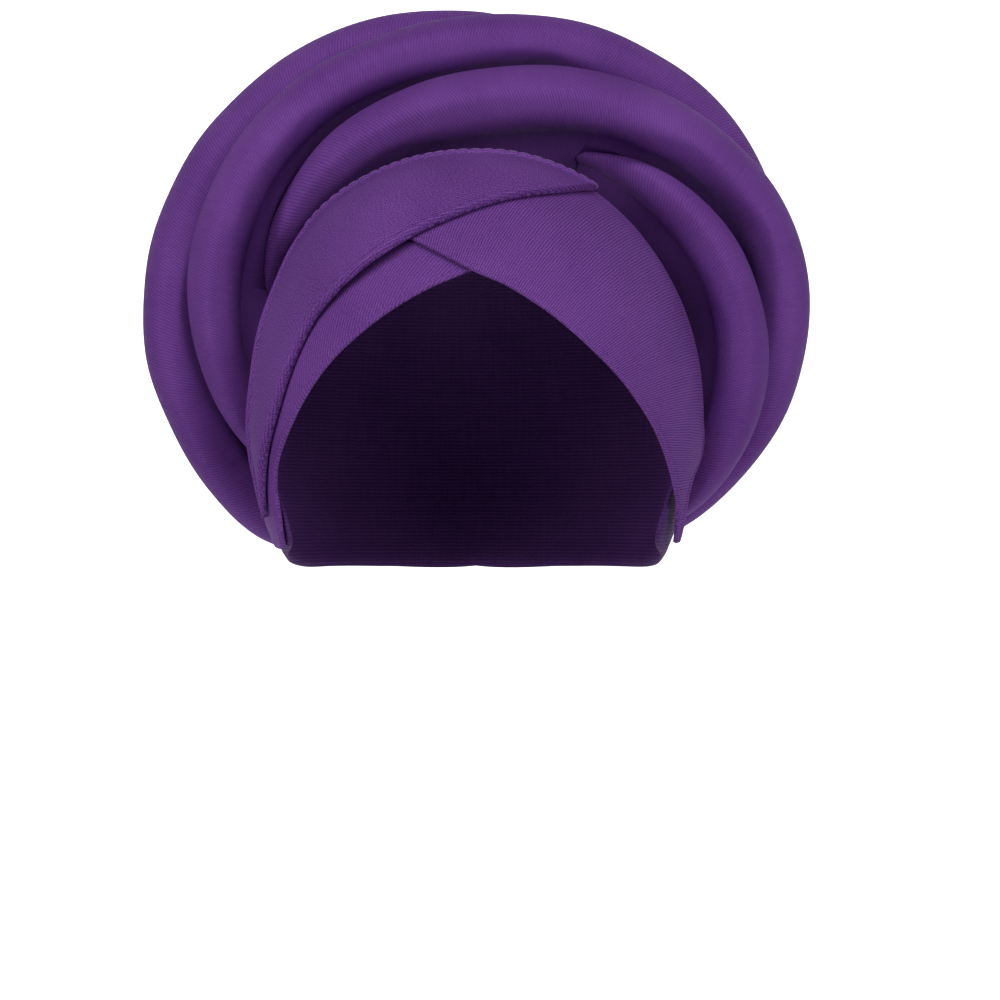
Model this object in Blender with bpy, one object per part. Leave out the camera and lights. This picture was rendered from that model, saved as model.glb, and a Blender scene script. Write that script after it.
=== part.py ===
# Twisted turban: a stretch cap with three crossed front bands and four padded rolls twisted round it.
#
# Frame: the origin is the crown of the head, on the inside of the cap. +Z is up, +X is the
# viewer's right and -Y is the wearer's face. Tables are in millimetres, meshes are in metres.

import math
from collections import namedtuple

import bmesh
import bpy
from mathutils import Vector

MM = 0.001

# The head that fills the cap: half sizes at its widest level, which lies HEAD_RISE below the crown.
HEAD_HALF_WIDTH = 75.0
HEAD_HALF_DEPTH = 95.0
HEAD_RISE = 89.0
HEAD_DROP = 90.0
HEAD_FULLNESS = 2.1
HEAD_CENTRE = Vector((0.0, 0.0, -HEAD_RISE))

# Cloth walls, the air left between one piece and the next, and that between crossed bands.
CAP_WALL = 1.5
BAND_WALL = 1.8
CLEARANCE = 0.3
LAYER_GAP = 0.5

# Widths in the tables are as they look from the front, in the upright plane through the crown.
# The eye stands level with the lower cheek, a little over one and a half metres away.
EYE = Vector((9.0, -1585.0, -115.0))

# The rolls lie round this point of the crown plane, which sits in the middle of their outline.
HALO_CENTRE = Vector((0.0, 0.0, -55.0))

# One row for each place along a band, from one tip to the other. The face edge is placed as it
# looks from the front. The rear edge has its clock angle round the middle of the head, which
# runs anticlockwise from the viewer's right, and its place in front of (-) or behind the crown.
# layer is 1 where the band lies on the cap, 2 over one other band and 3 over two.
BandRow = namedtuple("BandRow", "face_x face_z rear_clock rear_y layer")

# Lower left of the forehead, from the ear tip up to where it runs in under the other two.
UNDER_BAND = [
    BandRow(-67.8, -133.2, 211.5, -16.0, 1.0),
    BandRow(-69.6, -119.0, 203.0, -9.0, 1.0),
    BandRow(-70.6, -110.0, 196.0, -2.0, 1.0),
    BandRow(-69.2, -98.7, 187.0, 0.0, 1.0),
    BandRow(-62.3, -81.9, 173.0, 0.0, 1.0),
    BandRow(-50.0, -64.7, 155.0, -2.0, 1.0),
    BandRow(-35.0, -51.1, 138.0, -4.0, 1.0),
    BandRow(-18.0, -40.3, 121.0, -8.0, 1.0),
    BandRow(-1.1, -33.1, 105.0, -16.0, 1.0),
    BandRow(14.0, -27.5, 90.0, -32.0, 1.0),
]

# Right side of the forehead, from under the upper band across the brow to the right ear tip.
CROSS_BAND = [
    BandRow(-46.0, -14.0, 119.0, -20.0, 2.0),
    BandRow(-23.4, -21.7, 102.0, -22.0, 2.0),
    BandRow(-1.1, -33.1, 82.0, -20.0, 2.0),
    BandRow(12.0, -39.0, 71.0, -14.0, 2.0),
    BandRow(26.6, -48.3, 59.0, -7.0, 2.0),
    BandRow(40.0, -60.0, 46.0, -1.0, 2.0),
    BandRow(52.0, -72.6, 31.0, 2.0, 2.0),
    BandRow(61.6, -86.2, 14.0, 3.0, 2.0),
    BandRow(66.6, -96.4, 2.0, 2.0, 2.0),
    BandRow(69.4, -104.6, -6.5, -16.0, 2.0),
    BandRow(71.2, -111.3, -13.0, -31.0, 2.0),
    BandRow(72.6, -119.0, -21.0, -31.0, 2.0),
    BandRow(71.5, -131.5, -30.0, -24.0, 2.0),
]

# Upper left, on top of both: its lower edge is the rolled fold, its upper edge the stitched hem.
OVER_BAND = [
    BandRow(41.4, -3.3, 63.0, -14.0, 3.0),
    BandRow(21.2, -6.0, 78.0, -18.0, 3.0),
    BandRow(5.3, -9.7, 90.0, -21.0, 3.0),
    BandRow(-11.7, -16.1, 102.0, -19.0, 3.0),
    BandRow(-23.4, -21.7, 112.0, -15.0, 3.0),
    BandRow(-37.2, -30.9, 124.0, -12.0, 3.0),
    BandRow(-48.9, -41.6, 135.0, -12.0, 2.5),
    BandRow(-58.4, -54.3, 146.0, -20.0, 2.0),
    BandRow(-67.6, -75.6, 166.0, -28.0, 2.0),
    BandRow(-72.9, -95.4, 184.0, -26.0, 2.0),
    BandRow(-74.6, -111.7, 195.0, -30.0, 2.0),
    BandRow(-74.2, -121.5, 204.5, -30.0, 2.0),
]

# Where the edge of a band is thicker: width from that edge, extra height at the edge.
FOLD_WIDTH = 3.2
FOLD_HEIGHT = 1.6
HEM_WIDTH = 2.2
HEM_HEIGHT = 0.7

# The cap spreads from this axis, which points up and back. One row for each place on its rim,
# from the front down to the ear and round to the nape, mirrored left to right.
CAP_AXIS = Vector((0.0, 0.55, 0.835)).normalized()
RimRow = namedtuple("RimRow", "x y z")
CAP_RIM = [
    RimRow(0.0, -26.0, -3.0),
    RimRow(30.0, -25.0, -11.0),
    RimRow(52.0, -23.0, -28.0),
    RimRow(68.0, -20.0, -58.0),
    RimRow(73.0, -26.0, -89.0),
    RimRow(68.0, -38.0, -111.0),
    RimRow(63.0, -38.0, -129.0),
    RimRow(66.0, -2.0, -136.0),
    RimRow(55.0, 50.0, -141.0),
    RimRow(33.0, 76.0, -142.0),
    RimRow(0.0, 86.0, -142.0),
]

# One row for each section of a roll. clock runs anticlockwise from the viewer's right, reach is
# the radius of the roll's middle line, depth its place behind the crown plane, out and deep its
# half sizes, and lean the turn of its outer side towards the back, in degrees.
RollRow = namedtuple("RollRow", "clock reach depth out deep lean")

# Innermost roll: starts under the front roll and curls down the right side.
ROLL_INNER = [
    RollRow(74.0, 65.0, 36.0, 3.0, 3.5, -15.0),
    RollRow(66.0, 69.0, 34.0, 4.0, 4.5, -15.0),
    RollRow(58.0, 72.2, 31.0, 5.3, 5.8, -15.0),
    RollRow(51.0, 74.0, 27.0, 7.0, 7.5, -15.0),
    RollRow(43.0, 75.8, 20.0, 10.2, 10.6, -15.0),
    RollRow(32.0, 79.0, 13.0, 13.2, 12.8, -15.0),
    RollRow(18.0, 84.1, 9.5, 15.0, 14.0, -15.0),
    RollRow(0.0, 89.4, 9.0, 15.5, 14.5, -15.0),
    RollRow(-16.0, 91.0, 10.0, 15.5, 14.5, -12.0),
    RollRow(-28.0, 90.6, 13.0, 14.5, 14.0, -8.0),
    RollRow(-36.0, 90.0, 18.0, 13.0, 12.5, 0.0),
    RollRow(-42.0, 90.0, 28.0, 9.5, 9.5, 5.0),
    RollRow(-46.0, 88.0, 38.0, 5.0, 5.0, 10.0),
]

# Front roll: deep in the left recess, over the top, widest at the right, then round to the nape.
ROLL_FRONT = [
    RollRow(192.0, 72.0, 36.0, 4.0, 5.0, -15.0),
    RollRow(176.0, 73.2, 32.0, 5.0, 6.0, -15.0),
    RollRow(161.0, 74.2, 26.0, 6.4, 7.5, -15.0),
    RollRow(147.0, 73.6, 19.0, 9.4, 11.0, -15.0),
    RollRow(130.0, 74.2, 13.0, 12.4, 14.8, -15.0),
    RollRow(110.0, 75.2, 10.5, 14.6, 17.3, -15.0),
    RollRow(90.0, 76.9, 12.0, 16.2, 18.5, -15.0),
    RollRow(70.0, 82.2, 16.0, 17.8, 18.0, -15.0),
    RollRow(54.0, 88.3, 21.0, 18.7, 17.0, -15.0),
    RollRow(38.0, 95.0, 26.0, 19.0, 15.5, -15.0),
    RollRow(22.0, 101.2, 32.0, 18.8, 15.5, -15.0),
    RollRow(6.0, 102.3, 36.0, 18.2, 15.5, -12.0),
    RollRow(-10.0, 99.3, 39.0, 17.5, 15.5, -8.0),
    RollRow(-24.0, 94.2, 42.0, 16.5, 15.0, 0.0),
    RollRow(-36.0, 89.5, 48.0, 15.5, 14.5, 8.0),
    RollRow(-45.0, 84.5, 60.0, 14.0, 14.0, 20.0),
    RollRow(-53.0, 75.5, 79.0, 12.0, 13.5, 45.0),
    RollRow(-66.0, 63.5, 95.0, 10.5, 12.5, 70.0),
    RollRow(-87.0, 57.0, 102.0, 9.5, 11.5, 88.0),
]

# Middle roll: from behind the front roll, along the top and down the left side.
ROLL_MIDDLE = [
    RollRow(-22.0, 64.0, 68.0, 5.0, 5.0, -5.0),
    RollRow(-10.0, 78.0, 68.0, 8.0, 7.5, -6.0),
    RollRow(1.0, 88.5, 66.0, 11.0, 9.5, -8.0),
    RollRow(14.0, 97.0, 63.0, 14.0, 12.0, -10.0),
    RollRow(30.0, 102.4, 57.0, 16.5, 13.5, -12.0),
    RollRow(46.0, 101.6, 50.0, 18.0, 14.5, -15.0),
    RollRow(62.0, 99.5, 43.0, 18.7, 15.0, -15.0),
    RollRow(78.0, 96.3, 37.0, 19.0, 15.0, -15.0),
    RollRow(94.0, 93.6, 31.0, 19.0, 15.0, -15.0),
    RollRow(112.0, 92.0, 26.0, 18.8, 15.0, -15.0),
    RollRow(130.0, 91.5, 22.0, 18.2, 15.0, -15.0),
    RollRow(148.0, 90.8, 18.0, 17.2, 15.0, -15.0),
    RollRow(166.0, 89.3, 15.0, 15.8, 15.0, -15.0),
    RollRow(184.0, 86.3, 14.0, 14.2, 14.0, -12.0),
    RollRow(198.0, 84.0, 17.0, 11.8, 12.0, -8.0),
    RollRow(208.0, 82.5, 24.0, 8.8, 9.5, 0.0),
    RollRow(216.0, 81.0, 34.0, 5.0, 5.0, 5.0),
]

# Back roll: from behind the top, down the whole left side, then round to the nape.
ROLL_BACK = [
    RollRow(28.0, 56.0, 80.0, 5.0, 5.0, -5.0),
    RollRow(43.0, 76.0, 77.0, 7.5, 7.0, -5.0),
    RollRow(57.0, 90.0, 73.0, 10.0, 8.5, -6.0),
    RollRow(71.0, 96.5, 68.0, 12.5, 10.0, -8.0),
    RollRow(86.0, 98.5, 62.0, 15.0, 12.0, -10.0),
    RollRow(100.0, 97.8, 56.0, 18.0, 14.0, -12.0),
    RollRow(116.0, 98.6, 51.0, 19.6, 15.0, -15.0),
    RollRow(132.0, 98.8, 47.0, 20.6, 15.5, -15.0),
    RollRow(148.0, 98.7, 43.0, 21.4, 15.5, -15.0),
    RollRow(164.0, 98.2, 41.0, 22.0, 15.5, -15.0),
    RollRow(180.0, 96.6, 40.0, 22.0, 15.5, -12.0),
    RollRow(196.0, 93.0, 40.0, 21.4, 15.5, -8.0),
    RollRow(210.0, 91.0, 43.0, 19.8, 15.5, 0.0),
    RollRow(220.0, 89.7, 50.0, 18.2, 15.0, 8.0),
    RollRow(227.0, 85.0, 63.0, 16.0, 14.5, 22.0),
    RollRow(235.0, 74.5, 81.0, 13.5, 13.5, 48.0),
    RollRow(248.0, 62.8, 95.5, 11.0, 12.5, 70.0),
    RollRow(267.0, 57.0, 102.0, 9.5, 11.5, 88.0),
]

# A roll's section is a drop: this much fuller on its outer side, with a keel that narrows
# inwards until it has gone this far into the cap, where it is cut off. At most the keel is this
# many times as long as the outer half. It points back by this many degrees more than the lean,
# and its tip lies this many depths further from the viewer.
EGG = 0.3
KEEL_SINK = 5.0
KEEL_SHARE = 1.8
KEEL_BACK = 10.0
KEEL_DROP = 0.6

# On the viewer's side the section is a tube: highest at its crest and turning straight back at
# its valley, both this many depths inside the outline. Where the roll turns backwards by
# TUBE_LEAN degrees, both sides are a drop.
CREST = 0.45
VALLEY = 1.35
TUBE_LEAN = 40.0

# How finely the forms are cut into faces.
BAND_STEP = 7.0
BAND_CELLS = 5
WIDE_BAND_CELLS = 8
CAP_SECTORS = 40
CAP_RINGS = 8
ROLL_STEP = 11.0
ROLL_SIDES = 14
DOME_SECTORS = 60
DOME_RINGS = 30

# The seat's flat faces dip this far inside the round form that they stand for.
FACET_DIP = 0.3


def clear_scene():
    for old in list(bpy.data.objects):
        bpy.data.objects.remove(old, do_unlink=True)


def signed_power(value, power):
    return math.copysign(abs(value) ** power, value)


def head_axes(direction, lift=0.0):
    drop = HEAD_RISE if direction.z >= 0 else HEAD_DROP
    return (HEAD_HALF_WIDTH + lift, HEAD_HALF_DEPTH + lift, drop + lift)


def fullness(offset, lift):
    """1 on the head's surface raised by lift, less inside it and more outside it."""
    axes = head_axes(offset, lift)
    return sum(abs(offset[k] / axes[k]) ** HEAD_FULLNESS for k in range(3))


def head_point(direction, lift=0.0):
    """The point of the head in that direction from its centre, lift above the surface."""
    axes = head_axes(direction)
    reach = fullness(direction, 0.0) ** (-1.0 / HEAD_FULLNESS)
    on_head = direction * reach
    slope = Vector(
        signed_power(on_head[k] / axes[k], HEAD_FULLNESS - 1.0) / axes[k] for k in range(3)
    )
    return HEAD_CENTRE + on_head + slope.normalized() * lift


def sight_line(x, z):
    """Direction from the eye to a point of the crown plane."""
    return (Vector((x, 0.0, z)) - EYE).normalized()


def seen_on_head(x, z, lift):
    """Direction from the head's centre to where the sight line through (x, z) meets the head.

    A sight line that passes beside the head gives the point nearest to it, on the outline."""
    ray = sight_line(x, z)
    outside, deepest = 1400.0, 1700.0
    low, high = outside, deepest
    for _ in range(40):
        third = (high - low) / 3
        if fullness(EYE + ray * (low + third) - HEAD_CENTRE, lift) < fullness(
            EYE + ray * (high - third) - HEAD_CENTRE, lift
        ):
            high -= third
        else:
            low += third
    deepest = low
    if fullness(EYE + ray * deepest - HEAD_CENTRE, lift) >= 1.0:
        return (EYE + ray * deepest - HEAD_CENTRE).normalized()
    for _ in range(40):
        middle = (outside + deepest) / 2
        if fullness(EYE + ray * middle - HEAD_CENTRE, lift) > 1.0:
            outside = middle
        else:
            deepest = middle
    return (EYE + ray * outside - HEAD_CENTRE).normalized()


def placed_on_head(clock, y):
    """Direction from the head's centre to the point of the head at that clock angle and depth."""
    angle = math.radians(clock)
    flat = Vector((math.cos(angle), 0.0, math.sin(angle)))
    share = 1.0 - abs(y / HEAD_HALF_DEPTH) ** HEAD_FULLNESS
    radius = (share / fullness(flat, 0.0)) ** (1.0 / HEAD_FULLNESS)
    return (flat * radius + Vector((0.0, y, 0.0))).normalized()


def catmull_rom(before, start, end, after, t):
    """A point between start and end, on the smooth curve through all four."""
    return 0.5 * (
        2 * start
        + (end - before) * t
        + (2 * before - 5 * start + 4 * end - after) * t * t
        + (3 * start - before - 3 * end + after) * t * t * t
    )


def smooth_rows(rows, positions):
    """Rows of numbers, read at positions counted in rows along the table."""
    read = []
    last = len(rows) - 1
    for position in positions:
        k = min(int(position), last - 1)
        four = [rows[min(max(k + j, 0), last)] for j in (-1, 0, 1, 2)]
        read.append([catmull_rom(*column, position - k) for column in zip(*four)])
    return read


def even_positions(points, step):
    """Positions along a table whose points then lie about a step apart."""
    lengths = [0.0]
    for a, b in zip(points, points[1:]):
        lengths.append(lengths[-1] + (b - a).length)
    count = max(2, round(lengths[-1] / step))
    positions = []
    k = 0
    for j in range(count + 1):
        wanted = lengths[-1] * j / count
        while k < len(points) - 2 and lengths[k + 1] < wanted:
            k += 1
        positions.append(k + (wanted - lengths[k]) / (lengths[k + 1] - lengths[k]))
    return positions


def new_object(name, mesh_data, material, smooth_angle=35.0):
    mesh = bpy.data.meshes.new(name)
    mesh_data.to_mesh(mesh)
    mesh_data.free()
    obj = bpy.data.objects.new(name, mesh)
    bpy.context.scene.collection.objects.link(obj)
    if material:
        mesh.materials.append(material)
    mesh.shade_smooth()
    mesh.set_sharp_from_angle(angle=math.radians(smooth_angle))
    return obj


def cloth(name, colour, roughness):
    material = bpy.data.materials.new(name)
    material.use_nodes = True
    shader = material.node_tree.nodes["Principled BSDF"]
    shader.inputs["Base Color"].default_value = (*colour, 1.0)
    shader.inputs["Roughness"].default_value = roughness
    shader.inputs["Metallic"].default_value = 0.0
    return material


def face_outwards(bm):
    """Turns every face of a closed body to the outside."""
    bmesh.ops.recalc_face_normals(bm, faces=bm.faces)
    if bm.calc_volume(signed=True) < 0:
        bmesh.ops.reverse_faces(bm, faces=bm.faces)
    return bm


def closed_grid(outer, inner):
    """A closed wall between two grids of points of the same size, given in millimetres."""
    bm = bmesh.new()
    made = [[[bm.verts.new(p * MM) for p in row] for row in grid] for grid in (outer, inner)]
    rows = len(outer)
    columns = len(outer[0])
    for i in range(rows - 1):
        for j in range(columns - 1):
            for grid, turn in ((made[0], 1), (made[1], -1)):
                corners = [grid[i][j], grid[i + 1][j], grid[i + 1][j + 1], grid[i][j + 1]]
                bm.faces.new(corners[::turn])
    edge = [(i, 0) for i in range(rows)] + [(rows - 1, j) for j in range(1, columns)]
    edge += [(i, columns - 1) for i in range(rows - 2, -1, -1)]
    edge += [(0, j) for j in range(columns - 2, 0, -1)]
    for (i, j), (k, m) in zip(edge, edge[1:] + edge[:1]):
        bm.faces.new([made[0][i][j], made[0][k][m], made[1][k][m], made[1][i][j]][::-1])
    return face_outwards(bm)


def edge_rise(distance, width, height):
    """Extra height of a rolled edge, at a distance from that edge."""
    if distance >= width:
        return 0.0
    return height * math.sin(math.pi * (0.35 + 0.65 * distance / width))


def layer_height(row):
    """Height of a band's inner side above the head, at one row of its table."""
    return CAP_WALL + LAYER_GAP + (row[4] - 1) * (BAND_WALL + LAYER_GAP)


def band_edges(row):
    """Directions from the head's centre to both edges of a band, at one row of its table."""
    lift = layer_height(row) + BAND_WALL
    return seen_on_head(row[0], row[1], lift), placed_on_head(row[2], row[3])


def band(rows, cells=BAND_CELLS, fold=(0.0, 0.0), hem=(0.0, 0.0), grow=0.0):
    """A curved strip of cloth on the head, with a fold on its face edge and a hem on its rear."""
    edges = [band_edges(row) for row in rows]
    middles = [head_point(face.lerp(rear, 0.5).normalized(), BAND_WALL) for face, rear in edges]
    outer = []
    inner = []
    for row in smooth_rows(rows, even_positions(middles, BAND_STEP)):
        face, rear = band_edges(row)
        low = layer_height(row)
        width = (head_point(rear) - head_point(face)).length
        shares = band_shares(width, cells)
        shares[0] -= 2 * grow / width
        shares[-1] += 2 * grow / width
        crossing = [face.lerp(rear, share).normalized() for share in shares]
        rises = [
            edge_rise(share * width, *fold) + edge_rise((1 - share) * width, *hem)
            if fold[0] or hem[0]
            else 0.0
            for share in shares
        ]
        fade = min(1.0, width / (2 * FOLD_WIDTH + 2 * HEM_WIDTH))
        outer.append(
            [
                head_point(d, low + BAND_WALL + grow + rise * fade)
                for d, rise in zip(crossing, rises)
            ]
        )
        inner.append([head_point(d, low - grow) for d in crossing])
    return closed_grid(outer, inner)


def band_shares(width, cells):
    """Places across a band, from 0 at the face edge to 1 at the rear, close together at both."""
    fold_share = min(0.3, FOLD_WIDTH / max(width, 1.0))
    hem_share = min(0.3, HEM_WIDTH / max(width, 1.0))
    plain = 1 - fold_share - hem_share
    middle = [fold_share + plain * k / cells for k in range(cells + 1)]
    return [0.0, fold_share / 2, *middle, 1 - hem_share / 2, 1.0]


def cap_rim():
    """Directions from the head's centre to places spread evenly round the cap's rim."""
    points = [head_point((Vector(row) - HEAD_CENTRE).normalized()) for row in CAP_RIM]
    length = sum((b - a).length for a, b in zip(points, points[1:]))
    positions = even_positions(points, length / (CAP_SECTORS // 2))
    half = [(Vector(row) - HEAD_CENTRE).normalized() for row in smooth_rows(CAP_RIM, positions)]
    return half + [Vector((-d.x, d.y, d.z)) for d in half[-2:0:-1]]


def cap_shell():
    """The stretch cap: a thin wall on the head, from the rim under the bands to the nape."""
    rim = cap_rim()
    bm = bmesh.new()
    grids = []
    for lift in (CAP_WALL, 0.0):
        pole = bm.verts.new(head_point(CAP_AXIS, lift) * MM)
        rings = []
        for i in range(1, CAP_RINGS + 1):
            ring = []
            for edge in rim:
                direction = CAP_AXIS.slerp(edge, i / CAP_RINGS)
                ring.append(bm.verts.new(head_point(direction, lift) * MM))
            rings.append(ring)
        grids.append((pole, rings))
    for pole, rings in grids:
        for k in range(CAP_SECTORS):
            n = (k + 1) % CAP_SECTORS
            bm.faces.new([pole, rings[0][k], rings[0][n]])
            for near, far in zip(rings, rings[1:]):
                bm.faces.new([near[k], far[k], far[n], near[n]])
    for k in range(CAP_SECTORS):
        n = (k + 1) % CAP_SECTORS
        outer_rim, inner_rim = grids[0][1][-1], grids[1][1][-1]
        bm.faces.new([outer_rim[k], inner_rim[k], inner_rim[n], outer_rim[n]])
    return face_outwards(bm)


def dome(lift):
    """The whole head raised by lift, which cuts the rolls' seats on the cap."""
    bm = bmesh.new()
    top = bm.verts.new(head_point(Vector((0.0, 0.0, 1.0)), lift) * MM)
    bottom = bm.verts.new(head_point(Vector((0.0, 0.0, -1.0)), lift) * MM)
    rings = []
    for i in range(1, DOME_RINGS):
        polar = math.pi * i / DOME_RINGS
        ring = []
        for k in range(DOME_SECTORS):
            around = 2 * math.pi * k / DOME_SECTORS
            direction = Vector(
                (
                    math.sin(polar) * math.cos(around),
                    math.sin(polar) * math.sin(around),
                    math.cos(polar),
                )
            )
            ring.append(bm.verts.new(head_point(direction, lift) * MM))
        rings.append(ring)
    for k in range(DOME_SECTORS):
        n = (k + 1) % DOME_SECTORS
        bm.faces.new([top, rings[0][k], rings[0][n]])
        bm.faces.new([bottom, rings[-1][n], rings[-1][k]])
        for upper, lower in zip(rings, rings[1:]):
            bm.faces.new([upper[k], lower[k], lower[n], upper[n]])
    return face_outwards(bm)


def keel_length(middle, inward, out):
    """How far a roll's section runs inwards from its middle."""
    step = 0.25
    length = 0.0
    while length < KEEL_SHARE * out:
        if fullness(middle + inward * length - HEAD_CENTRE, CAP_WALL) < 1.0:
            break
        length += step
    return min(max(out, length + KEEL_SINK), KEEL_SHARE * out)


def roll_section(row):
    """Middle, outward and inward directions, half sizes and tube share of a roll at one row."""
    angle = math.radians(row[0])
    lean = math.radians(row[5])
    scale = 1.0 - row[2] / EYE.y
    radial = Vector((math.cos(angle), 0.0, math.sin(angle)))
    flat = HALO_CENTRE + radial * row[1]
    middle = EYE + (flat - EYE) * scale
    outward = radial * math.cos(lean) + Vector((0.0, math.sin(lean), 0.0))
    back = math.radians(KEEL_BACK) - lean
    inward = Vector((0.0, math.sin(back), 0.0)) - radial * math.cos(back)
    tube = min(1.0, max(0.0, 1.0 - row[5] / TUBE_LEAN))
    return middle, outward, inward, row[3] * scale, row[4] * scale, tube


def section_point(turn, out, deep, keel, tube):
    """Place of a section's point, outwards or inwards (-) and towards the viewer or away (-)."""
    reach = math.cos(turn)
    rise = out * reach if reach > 0 else keel * reach
    width = deep * math.sin(turn) * (1 + EGG * reach)
    if math.sin(turn) < 1e-6:
        return rise, width - KEEL_DROP * deep * tube * min(0.0, reach) ** 2
    crest = out - CREST * deep
    valley = out - VALLEY * deep
    round_rise = crest + (out - crest if reach > 0 else crest - valley) * reach
    round_width = deep * math.sin(turn)
    return rise + (round_rise - rise) * tube, width + (round_width - width) * tube


def grown_ring(points, axis, grow):
    """A closed ring of points moved outwards, so that each of its sides moves by grow."""
    sides = [(b - a).normalized() for a, b in zip(points, points[1:] + points[:1])]
    moved = []
    for k, point in enumerate(points):
        before, after = sides[k - 1].cross(axis), sides[k].cross(axis)
        corner = (before + after).normalized()
        moved.append(point + corner * grow / max(0.4, corner.dot(after)))
    return moved


def roll(rows, grow=0.0):
    """A padded roll swept along its table of sections, closed by a rounded tip at each end."""
    middles = [roll_section(row)[0] for row in rows]
    sections = [roll_section(r) for r in smooth_rows(rows, even_positions(middles, ROLL_STEP))]
    bm = bmesh.new()
    rings = []
    last = len(sections) - 1
    viewer_side = 1 if rows[0].clock > rows[-1].clock else -1
    for k, (middle, outward, inward, out, deep, tube) in enumerate(sections):
        along = (sections[min(k + 1, last)][0] - sections[max(k - 1, 0)][0]).normalized()
        outward = (outward - along * outward.dot(along)).normalized()
        sideways = along.cross(outward) * viewer_side
        inward = (inward - along * inward.dot(along)).normalized()
        keel = keel_length(middle, inward, out)
        points = []
        for j in range(ROLL_SIDES):
            turn = 2 * math.pi * j / ROLL_SIDES
            rise, width = section_point(turn, out, deep, keel, tube)
            side = outward * rise if rise > 0 else inward * -rise
            points.append(middle + side + sideways * width)
        if grow:
            points = grown_ring(points, along * viewer_side, grow)
        ring = [bm.verts.new(point * MM) for point in points]
        rings.append(ring)
        if k in (0, last):
            tip = middle + along * (out * 0.8 + grow) * (-1 if k == 0 else 1)
            point = bm.verts.new(tip * MM)
            for j in range(ROLL_SIDES):
                bm.faces.new([point, ring[j], ring[(j + 1) % ROLL_SIDES]])
    for near, far in zip(rings, rings[1:]):
        for j in range(ROLL_SIDES):
            n = (j + 1) % ROLL_SIDES
            bm.faces.new([near[j], far[j], far[n]])
            bm.faces.new([near[j], far[n], near[n]])
    return face_outwards(bm)


def cutter(name, mesh_data):
    obj = new_object(name, mesh_data, None)
    obj.hide_render = True
    obj.display_type = "WIRE"
    return obj


def cut(obj, cutters):
    for tool in cutters:
        modifier = obj.modifiers.new("clear of " + tool.name, "BOOLEAN")
        modifier.operation = "DIFFERENCE"
        modifier.object = tool
        modifier.solver = "EXACT"


def main():
    clear_scene()
    violet = cloth("violet_scuba", (0.13, 0.045, 0.22), 0.7)
    dark_violet = cloth("violet_jersey", (0.10, 0.035, 0.17), 0.8)

    new_object("cap", cap_shell(), dark_violet)
    new_object("under_band", band(UNDER_BAND), violet)
    new_object("cross_band", band(CROSS_BAND, WIDE_BAND_CELLS), violet)
    fold = (FOLD_WIDTH, FOLD_HEIGHT)
    hem = (HEM_WIDTH, HEM_HEIGHT)
    new_object("over_band", band(OVER_BAND, fold=fold, hem=hem), violet)

    cap_form = cutter("cap_form", dome(CAP_WALL + CLEARANCE + FACET_DIP))
    room = CLEARANCE + FACET_DIP
    band_forms = [
        cutter("under_form", band(UNDER_BAND, grow=room)),
        cutter("cross_form", band(CROSS_BAND, WIDE_BAND_CELLS, grow=room)),
        cutter("over_form", band(OVER_BAND, fold=fold, hem=hem, grow=room)),
    ]
    inner_form = cutter("inner_form", roll(ROLL_INNER, grow=CLEARANCE))
    front_form = cutter("front_form", roll(ROLL_FRONT, grow=CLEARANCE))
    middle_form = cutter("middle_form", roll(ROLL_MIDDLE, grow=CLEARANCE))

    seat = [cap_form, *band_forms]
    cut(new_object("roll_inner", roll(ROLL_INNER), violet), seat)
    cut(new_object("roll_front", roll(ROLL_FRONT), violet), [*seat, inner_form])
    cut(new_object("roll_middle", roll(ROLL_MIDDLE), violet), [*seat, front_form])
    cut(new_object("roll_back", roll(ROLL_BACK), violet), [*seat, front_form, middle_form])


main()
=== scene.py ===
import math
from collections import namedtuple

import bmesh
import bpy
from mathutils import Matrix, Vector, noise


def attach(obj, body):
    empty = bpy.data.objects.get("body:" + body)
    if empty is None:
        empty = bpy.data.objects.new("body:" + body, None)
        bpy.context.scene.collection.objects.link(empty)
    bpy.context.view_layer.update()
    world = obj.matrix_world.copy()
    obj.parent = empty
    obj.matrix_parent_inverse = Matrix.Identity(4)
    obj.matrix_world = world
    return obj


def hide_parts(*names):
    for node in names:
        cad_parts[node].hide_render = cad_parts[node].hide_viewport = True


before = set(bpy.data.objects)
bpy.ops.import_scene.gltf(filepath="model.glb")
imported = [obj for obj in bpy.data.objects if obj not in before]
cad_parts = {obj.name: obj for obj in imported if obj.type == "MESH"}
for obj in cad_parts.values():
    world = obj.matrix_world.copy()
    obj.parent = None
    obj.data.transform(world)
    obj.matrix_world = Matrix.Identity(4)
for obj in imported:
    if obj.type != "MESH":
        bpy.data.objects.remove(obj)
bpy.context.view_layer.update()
mm = 0.001  # tables are in millimetres, meshes in metres
print("frame loaded:", ", ".join(sorted(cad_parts)))

# the head that fills the cap, and how it is looked at

head = {
    "halfWidth": 75.0,
    "halfDepth": 95.0,
    "rise": 89.0,  # from its widest level up to the crown
    "drop": 90.0,  # and down to where it would close
    "fullness": 2.1,  # 2 is an ellipsoid, more is squarer
    "radius": 80.0,  # about its mean, turns directions into lengths
    "centre": Vector((0.0, 0.0, -89.0)),
}
eye = Vector((9.0, -1585.0, -115.0))  # the photograph was taken from here
sight = {"near": 1400.0, "far": 1700.0, "rounds": 36}  # distances from the eye that hold the head
haloCentre = Vector((0.0, 0.0, -55.0))  # the rolls lie round this point of the crown plane
pixelAtCrown = 0.354  # millimetres to a pixel of a picture 1000 pixels wide

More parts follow.
